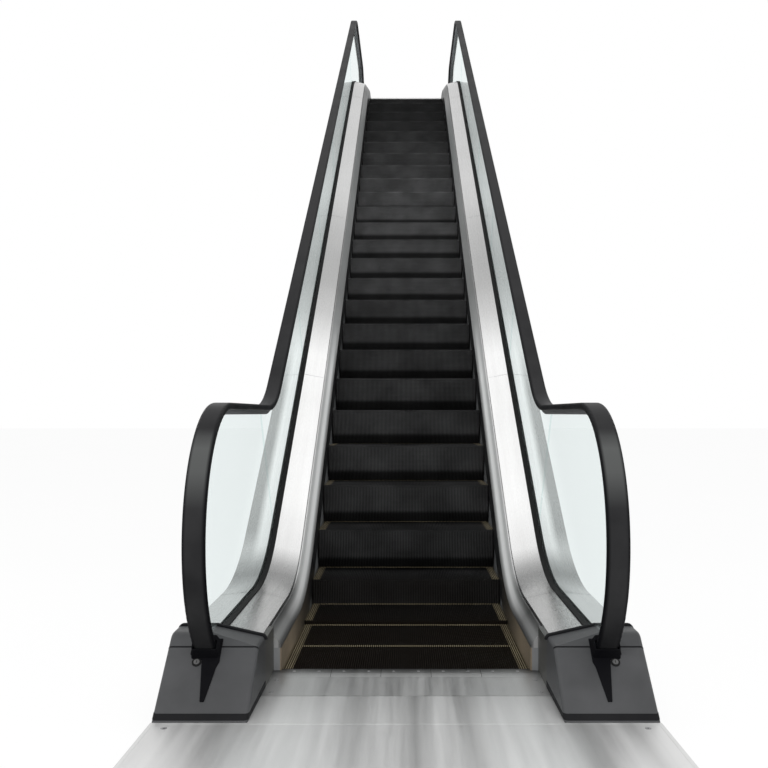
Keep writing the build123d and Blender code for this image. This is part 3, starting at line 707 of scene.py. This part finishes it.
def trim_cap(end_y, way, floor, side, trims, rings):
    """Adds the seal, seam, foot strip and switch ring of one cap."""
    rearwards = Vector((0, way, 0))
    outboard = Vector((side, 0, 0))
    face_normal = Vector((0, way * math.sin(face_slope), math.cos(face_slope)))
    face_up = Vector((0, -way * math.cos(face_slope), math.sin(face_slope)))

    def rear_place(x, height, turn):
        """A place on the cap's rear edge, its outward direction turned from outboard to up."""
        outwards = outboard * math.cos(turn) + up * math.sin(turn)
        middle = Vector((side * x, end_y + way * (cap_back + seal_width / 2), floor + height))
        return middle, outwards, rearwards

    def face_place(x, height):
        out = cap_front - height / math.tan(face_slope)
        return Vector((side * x, end_y + way * out, floor + height))

    def across_face(height, arc_places):
        """Places across the sloping face and round its two upright corners."""
        corner_arcs = []
        for x, direction in cap_corners:
            flat = face_place(x, height)
            arc = []
            for number in range(arc_places):
                turn = quarter * number / arc_steps
                outwards = outboard * direction * math.sin(turn) + face_normal * math.cos(turn)
                arc.append((flat + (outwards - face_normal) * cap_round, outwards, face_up))
            corner_arcs.append(arc)
        inner_arc, outer_arc = corner_arcs
        return [*reversed(inner_arc), *outer_arc]

    seal_side = landing_half_width - seal_thick + seal_side_proud
    seal = [rear_place(seal_side, cap_height - cap_round - seal_drop, 0.0)]
    for number in range(arc_steps + 1):
        turn = quarter * number / arc_steps
        x = seal_side - cap_round * (1 - math.cos(turn))
        seal.append(rear_place(x, cap_height - cap_round * (1 - math.sin(turn)), turn))
    seal.append(rear_place(cap_shoulder, cap_height, quarter + top_slant / 2))
    inner_turn = quarter - top_slant
    centre_height = cap_inner_height - cap_round * math.tan(inner_turn / 2)
    for number in range(arc_steps + 1):
        turn = quarter + top_slant + inner_turn * number / arc_steps
        x = cap_inner + cap_round + cap_round * math.cos(turn)
        seal.append(rear_place(x, centre_height + cap_round * math.sin(turn), turn))
    trims.strip(seal, seal_width, seal_thick)

    trims.strip(across_face(cap_inner_height, arc_steps), seam_width, seam_thick)

    foot_middle = floor + foot_height / 2
    foot = [(Vector((side * cap_inner, end_y + way * cap_back, foot_middle)), -outboard, up)]
    for middle, outwards, sideways in across_face(0.0, arc_steps + 1):
        foot.append((middle + face_up * (foot_middle - middle.z) / face_up.z, outwards, sideways))
    foot.append((Vector((side * landing_half_width, end_y + way * cap_back, foot_middle)), outboard, up))
    trims.strip(foot, foot_height, foot_thick)

    switch = face_place(handrail_centre + switch_offset, switch_height)
    rings.turned(switch, face_normal, [
        (ring_outer, 0.0), (ring_outer, ring_side), (ring_shoulder, ring_top),
        (ring_inner, ring_top), (ring_inner, 0.0),
    ], corners=32)
    switch_front = switch + face_normal * switch_proud
    keyhole_ends = (-keyhole_length / 2, keyhole_length / 2)
    keyhole = [(switch_front + face_up * shift, face_normal, outboard) for shift in keyhole_ends]
    rings.strip(keyhole, keyhole_width, keyhole_thick)


cap_trims = Shape()
switch_rings = Shape()
for end_y, way, floor in ends.values():
    for side in sides.values():
        trim_cap(end_y, way, floor, side, cap_trims, switch_rings)
cap_trims.piece("cap_trims", [foot_black], "clamp_rubber")
switch_rings.piece("switch_rings", [seam_black], "clamp_rubber")


# Combs: segments with their seams and screws

comb_segments = 5
comb_segment = step_width / comb_segments
comb_seam_width = 0.0016
comb_seam_thick = 0.0004
comb_screw_out = 0.034
comb_screw_shares = (0.25, 0.75)
comb_screw_radius = 0.0065
plate_screw_x = 0.505
plate_screw_outs = (0.14, 0.29)
plate_screw_radius = 0.0075
comb_marks = Shape()
for end_y, way, floor in ends.values():
    for number in range(1, comb_segments):
        x = -step_width / 2 + number * comb_segment
        seam = []
        for out, height in ((comb_joint, comb_rise), (comb_flat, comb_rise), (comb_flat + comb_ramp, 0.0)):
            seam.append((Vector((x, end_y + way * out, floor + height)), up, right))
        comb_marks.strip(seam, comb_seam_width, comb_seam_thick, 1)
    for number in range(comb_segments):
        for share in comb_screw_shares:
            x = -step_width / 2 + (number + share) * comb_segment
            place = Vector((x, end_y + way * comb_screw_out, floor + comb_rise))
            comb_marks.screw(place, up, comb_screw_radius)
    for side in sides.values():
        for out in plate_screw_outs:
            place = Vector((side * plate_screw_x, end_y + way * out, floor))
            comb_marks.screw(place, up, plate_screw_radius)
comb_marks.piece("comb_seams_and_screws", [screw_steel, seam_black], "comb_aluminium")


# Floor plates: edging round each leaf and its lifting screws

leaf_start_gap = 0.006
leaf_end_gap = 0.003
edge_thick = 0.0004
side_edge_width = 0.012
cross_edge_width = 0.010
side_edge_x = landing_half_width - 0.008
cross_edge_x = landing_half_width - 0.016
lifting_screw_x = landing_half_width - 0.060
lifting_screw_inset = 0.050
lifting_screw_radius = 0.009
landing_lengths = {"lower": lower_landing_length, "upper": upper_landing_length}
edging = Shape()
for end, (end_y, way, floor) in ends.items():
    leaves = ((cap_front, front_leaf_start), (front_leaf_start, landing_lengths[end]))
    for leaf_start, leaf_end in leaves:
        near = leaf_start + leaf_start_gap
        far = leaf_end - leaf_end_gap
        for side in sides.values():
            edge = [
                (Vector((side * side_edge_x, end_y + way * out, floor)), up, right) for out in (near, far)
            ]
            edging.strip(edge, side_edge_width, edge_thick, 2)
            for out in (near + lifting_screw_inset, far - lifting_screw_inset):
                place = Vector((side * lifting_screw_x, end_y + way * out, floor))
                edging.screw(place, up, lifting_screw_radius)
        for out in (near + cross_edge_width / 2, far - cross_edge_width / 2):
            across_leaf = [
                (Vector((x, end_y + way * out, floor)), up, forward) for x in (-cross_edge_x, cross_edge_x)
            ]
            edging.strip(across_leaf, cross_edge_width, edge_thick, 2)
edging.piece("floor_edging", [screw_steel, seam_black, floor_steel], "floor_steel")


# Joints between the panels of the decks: each outline is (x, height, share of sideways and of upwards)

cover_gap = 0.003
edge_gap = 0.001
joint_width = 0.0010
joint_thick = 0.0004
lower_bend_high = lower_bend_low + lower_bend_length
joint_travels = [
    lower_bend_low - 0.05, lower_bend_high + 1.60, lower_bend_high + slope_length / 2,
    lower_bend_high + slope_length - 0.45, track_length - upper_flat_length + 0.15,
]
inner_outline = [
    (skirt_cover_outer + cover_gap, deck_inner_top, 0, 1), (deck_outer - edge_gap, deck_outer_top, 0, 1),
]
outer_outline = [
    (clamp_outer + edge_gap, deck_outer_top, 0, 1), (landing_half_width, outer_deck_top, 1, 1),
    (landing_half_width, outer_deck_lip, 1, 0),
]
panel_joints = Shape()
for travel in joint_travels:
    y, z, turn = track_place(travel)
    nose = Vector((0, y, z))
    square = Vector((0, -math.sin(turn), math.cos(turn)))
    run = Vector((0, math.cos(turn), math.sin(turn)))
    for side in sides.values():
        for outline in (inner_outline, outer_outline):
            path = []
            for x, height, sideways, upwards in outline:
                outwards = (square * upwards + right * side * sideways).normalized()
                path.append((nose + right * side * x + square * height, outwards, run))
            panel_joints.strip(path, joint_width, joint_thick)
panel_joints.piece("deck_joints", [seam_black], "deck_steel")


# Side claddings and soffit: panel joints and their screws

cladding_top = outer_deck_lip - 0.010
panel_pitch = 1.300
shortest_end_panel = 0.400
sheet_joint_width = 0.0030
sheet_joint_thick = 0.0004
sheet_joint_foot = 0.002
sheet_joint_head = 0.030
sheet_screw_radius = 0.0045
sheet_screw_shift = 0.018
side_screw_pitch = 0.35
lowest_side_screw = 0.04
highest_side_screw = 0.07
soffit_start_gap = 0.300
soffit_thick = 0.008
soffit_edge = 0.002
soffit_screw_x = 0.780
soffit_screws = 7


def line_height(y, offset):
    """Height of the line that lies this far above the step noses, square to them, with sharp corners."""
    shift = offset * half_bend
    if y < bend_start - shift:
        return floor_height + offset
    if y > bend_end - shift:
        return top_floor + offset
    return floor_height + offset + (y - bend_start + shift) * slope


def underside_height(y):
    if y < truss_leaves_ground:
        return 0.0
    return min((y - truss_leaves_ground) * slope, truss_floor)


def spread(low, high, count):
    """Evenly spread numbers from low to high."""
    return [low + (high - low) * number / (count - 1) for number in range(count)]


sheet_marks = Shape()
panel_count = int((upper_end - shortest_end_panel) / panel_pitch)
for number in range(1, panel_count + 1):
    y = number * panel_pitch
    low = underside_height(y)
    high = line_height(y, cladding_top)
    if y > upper_comb + cap_back:
        high = top_floor - floor_plate_thick
    for side in sides.values():
        outwards = right * side
        joint = [
            (Vector((side * landing_half_width, y, z)), outwards, forward)
            for z in (low + sheet_joint_foot, high - sheet_joint_head)
        ]
        sheet_marks.strip(joint, sheet_joint_width, sheet_joint_thick, 1)
        screws = max(2, round((high - low) / side_screw_pitch))
        for z in spread(low + lowest_side_screw, high - highest_side_screw, screws):
            for shift in (-sheet_screw_shift, sheet_screw_shift):
                place = Vector((side * landing_half_width, y + shift, z))
                sheet_marks.screw(place, outwards, sheet_screw_radius)
    if y > truss_leaves_ground + soffit_start_gap:
        tilt = 0.0 if y > soffit_corner else incline
        downwards = Vector((0, math.sin(tilt), -math.cos(tilt)))
        run = Vector((0, math.cos(tilt), math.sin(tilt)))
        middle = Vector((0, y, underside_height(y))) + downwards * soffit_thick
        half = landing_half_width - soffit_edge
        joint = [(middle + right * x, downwards, run) for x in (-half, half)]
        sheet_marks.strip(joint, sheet_joint_width, sheet_joint_thick, 1)
        for x in spread(-soffit_screw_x, soffit_screw_x, soffit_screws):
            place = middle + right * x + run * sheet_screw_shift
            sheet_marks.screw(place, downwards, sheet_screw_radius)
sheet_marks.piece("cladding_joints_and_screws", [screw_steel, seam_black], "cladding_steel")


# Floor and background: white to the camera, to reflections and through glass, lit surfaces to the rest

floor_reach = 60.0
floor_gap = 0.001
white_share_of_floor = 0.90
ambient_light = 0.70


def show_white(tree, white_share, lit, target):
    """Links plain white by this share to what the camera sees, and the lit shader to the rest."""
    rays = tree.nodes.new("ShaderNodeLightPath").outputs
    seen = math_node(tree, "MAXIMUM", rays["Is Camera Ray"], rays["Is Glossy Ray"])
    seen = math_node(tree, "MAXIMUM", seen, rays["Is Transmission Ray"])
    share = math_node(tree, "MULTIPLY", seen, white_share)
    white = tree.nodes.new("ShaderNodeEmission")
    mix_shaders(tree, share, lit, white.outputs[0], target)


floor_corners = [(-1, -1), (1, -1), (1, 1), (-1, 1)]
floor_mesh = bpy.data.meshes.new("studio_floor")
floor_mesh.from_pydata([(floor_reach * x, floor_reach * y, 0) for x, y in floor_corners], [], [(0, 1, 2, 3)])
studio_floor = bpy.data.objects.new("studio_floor", floor_mesh)
bpy.context.scene.collection.objects.link(studio_floor)
studio_floor.location.z = -floor_gap
floor_paint = Surface("studio_floor", specular=0.1, roughness=0.9)
clouds = floor_paint.fit(floor_paint.noise(0.4, detail=2.0), 0.3, 0.7)
floor_paint.colour(floor_paint.blend(clouds, (0.95, 0.95, 0.95), (0.99, 0.99, 0.99)))
show_white(floor_paint.tree, white_share_of_floor, floor_paint.shader.outputs[0], floor_paint.output)
floor_mesh.materials.append(floor_paint.material)

world = bpy.data.worlds.new("studio")
bpy.context.scene.world = world
world.use_nodes = True
ambient = world.node_tree.nodes["Background"]
ambient.inputs["Color"].default_value = (1.0, 1.0, 1.0, 1.0)
ambient.inputs["Strength"].default_value = ambient_light
world_output = world.node_tree.nodes["World Output"].inputs["Surface"]
show_white(world.node_tree, 1.0, ambient.outputs[0], world_output)


# Lamps and camera

def soft_lamp(name, place, aim, size, power):
    lamp = bpy.data.lights.new(name, "AREA")
    lamp.shape = "RECTANGLE"
    lamp.size, lamp.size_y = size
    lamp.energy = power
    made = bpy.data.objects.new(name, lamp)
    bpy.context.scene.collection.objects.link(made)
    made.location = place
    made.rotation_euler = (Vector(aim) - Vector(place)).to_track_quat("-Z", "Y").to_euler()


soft_lamp("key_lamp", (-3.0, -9.0, 9.5), (0.0, 3.0, 2.0), (8.0, 6.0), 650.0)
soft_lamp("fill_lamp", (3.5, -8.0, 7.5), (0.0, 4.0, 2.5), (8.0, 6.0), 350.0)

photo_side = 768
photo_focal = 900.4
photo_middle_x = 406
photo_middle_y = 413
eye_distance = 3.660
eye_height = 1.084
camera_data = bpy.data.cameras.new("photo_camera")
camera_data.lens = photo_focal / photo_side * camera_data.sensor_width
camera_data.shift_x = (photo_side / 2 - photo_middle_x) / photo_side
camera_data.shift_y = (photo_middle_y - photo_side / 2) / photo_side
camera = bpy.data.objects.new("photo_camera", camera_data)
bpy.context.scene.collection.objects.link(camera)
camera.location = (0.0, -eye_distance, eye_height)
camera.rotation_euler = (math.radians(90), 0, 0)
bpy.context.scene.camera = camera
bpy.context.scene.view_settings.view_transform = "Standard"
